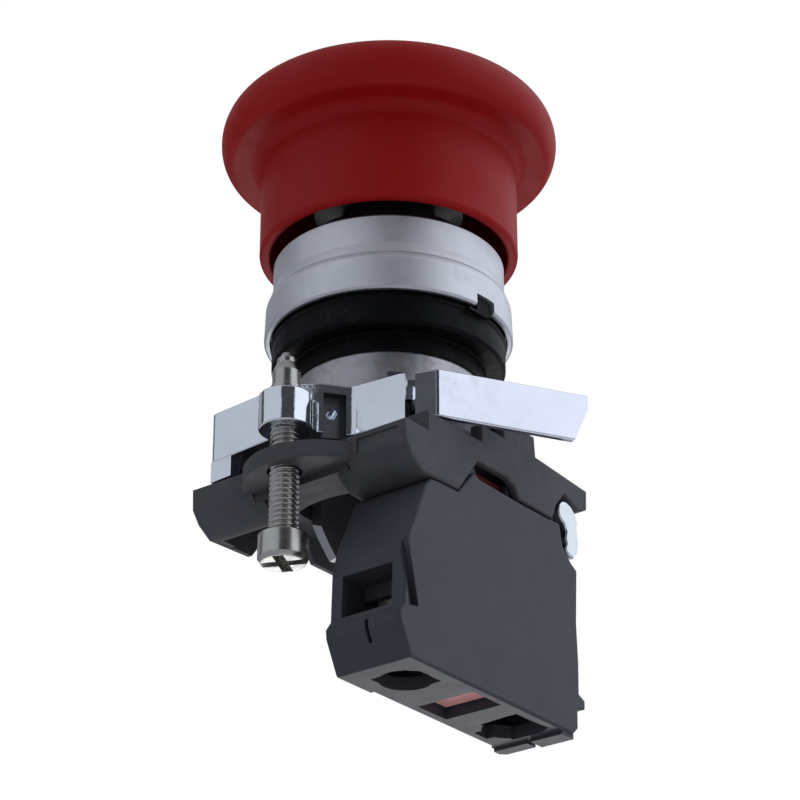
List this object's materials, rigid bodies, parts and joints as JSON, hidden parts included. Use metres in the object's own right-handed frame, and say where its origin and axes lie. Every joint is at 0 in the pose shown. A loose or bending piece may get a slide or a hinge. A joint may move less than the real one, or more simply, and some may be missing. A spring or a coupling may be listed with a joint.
{
  "type": "emergency stop push button",
  "caption": "Panel-mount emergency stop push button with a red mushroom head, metal bezel, rear fixing collar with locking lever and a normally closed contact block.",
  "frame": {"origin": "centre of the 22.5 mm panel hole, on the gasket face that seats on the panel's front", "axes": "+Z out of the panel along the button's axis, X across the three block bays, Y along the contact block"},
  "size_m": [0.0434, 0.0412, 0.0824],
  "materials": {
    "red_plastic": "satin moulded",
    "zinc_satin": "satin turned zinc alloy",
    "zinc_cast": "as-cast zinc alloy",
    "chrome_zinc": "bright plated die-cast zinc",
    "rubber_black": "matt",
    "carrier_plastic": "matt moulded",
    "block_plastic": "matt moulded",
    "stem_plastic": "moulded",
    "plunger_red": "moulded",
    "screw_steel": "zinc plated",
    "spring_steel": "drawn wire",
    "brass": "stamped",
    "contact_silver": "silver alloy"
  },
  "bodies": {
    "root": {"head_body": "zinc_cast", "bezel_ring": "zinc_satin", "gasket": "rubber_black", "stem_seal": "rubber_black", "return_spring": "spring_steel", "detent_ring": "spring_steel", "fixing_collar": "chrome_zinc", "block_carrier": "carrier_plastic", "block_housing": "block_plastic", "block_cover": "block_plastic", "fixed_contact_a": "brass", "fixed_contact_b": "brass", "fixed_rivets": "contact_silver", "plunger_spring": "spring_steel", "clip_pin": "screw_steel"},
    "stem": {"push_stem": "stem_plastic", "stem_circlip": "spring_steel", "pusher_foot": "stem_plastic"},
    "mushroom": {"mushroom_cap": "red_plastic", "mushroom_hub": "stem_plastic", "twist_spring": "spring_steel"},
    "lock_lever": {"lock_ring": "chrome_zinc"},
    "screw_foot": {"pressure_foot": "screw_steel"},
    "clamp_screw": {"clamp_screw": "screw_steel"},
    "plunger": {"block_plunger": "plunger_red", "contact_bridge": "brass", "bridge_rivets": "contact_silver", "contact_spring": "spring_steel"},
    "saddle_a": {"saddle_clamp_a": "screw_steel"},
    "screw_a": {"terminal_screw_a": "screw_steel"},
    "saddle_b": {"saddle_clamp_b": "screw_steel"},
    "screw_b": {"terminal_screw_b": "screw_steel"},
    "clip": {"block_clip": "chrome_zinc"}
  },
  "joints": [
    {"name": "button_press", "type": "slide", "parent": "root", "child": "stem", "axis": [0, 0, -1], "range_m": [0, 0.0043], "stiffness_N_per_m": 3000, "springref_m": -0.0005, "deforming": ["return_spring", "detent_ring"]},
    {"name": "button_twist", "type": "hinge", "parent": "stem", "child": "mushroom", "pos_m": [0, 0, 0.026], "axis": [0, 0, 1], "range_deg": [-30, 0], "stiffness_Nm_per_rad": 0.03, "springref_deg": 2.86, "deforming": ["twist_spring"]},
    {"name": "lock_lever_turn", "type": "hinge", "parent": "root", "child": "lock_lever", "pos_m": [0, 0, -0.0105], "axis": [0, 0, 1], "range_deg": [0, 26]},
    {"name": "clamp_screw_travel", "type": "slide", "parent": "root", "child": "screw_foot", "axis": [0, 0, 1], "range_m": [0, 0.0033]},
    {"name": "clamp_screw_turn", "type": "hinge", "parent": "screw_foot", "child": "clamp_screw", "pos_m": [0, -0.0182, -0.018], "axis": [0, 0, 1], "range_deg": [0, 1981]},
    {"name": "block_plunger_travel", "type": "slide", "parent": "root", "child": "plunger", "axis": [0, 0, -1], "range_m": [0, 0.0043], "deforming": ["plunger_spring"]},
    {"name": "terminal_a_turn", "type": "hinge", "parent": "root", "child": "screw_a", "pos_m": [0.01025, -0.0102, -0.038], "axis": [0, 0, 1], "range_deg": [0, 1141]},
    {"name": "saddle_a_travel", "type": "slide", "parent": "root", "child": "saddle_a", "axis": [0, 0, -1], "range_m": [0, 0.0019]},
    {"name": "terminal_b_turn", "type": "hinge", "parent": "root", "child": "screw_b", "pos_m": [0.01025, 0.0082, -0.038], "axis": [0, 0, 1], "range_deg": [0, 1141]},
    {"name": "saddle_b_travel", "type": "slide", "parent": "root", "child": "saddle_b", "axis": [0, 0, -1], "range_m": [0, 0.0019]},
    {"name": "clip_release", "type": "hinge", "parent": "root", "child": "clip", "pos_m": [0.012, 0.01375, -0.01635], "axis": [1, 0, 0], "range_deg": [0, 7], "stiffness_Nm_per_rad": 0.0005, "springref_deg": -8.59}
  ],
  "couplings": [
    {"joint": "block_plunger_travel", "follows": "button_press", "ratio": 1},
    {"joint": "clamp_screw_turn", "follows": "clamp_screw_travel", "rad_per_m": 10472},
    {"joint": "terminal_a_turn", "follows": "saddle_a_travel", "rad_per_m": 10472},
    {"joint": "terminal_b_turn", "follows": "saddle_b_travel", "rad_per_m": 10472}
  ]
}
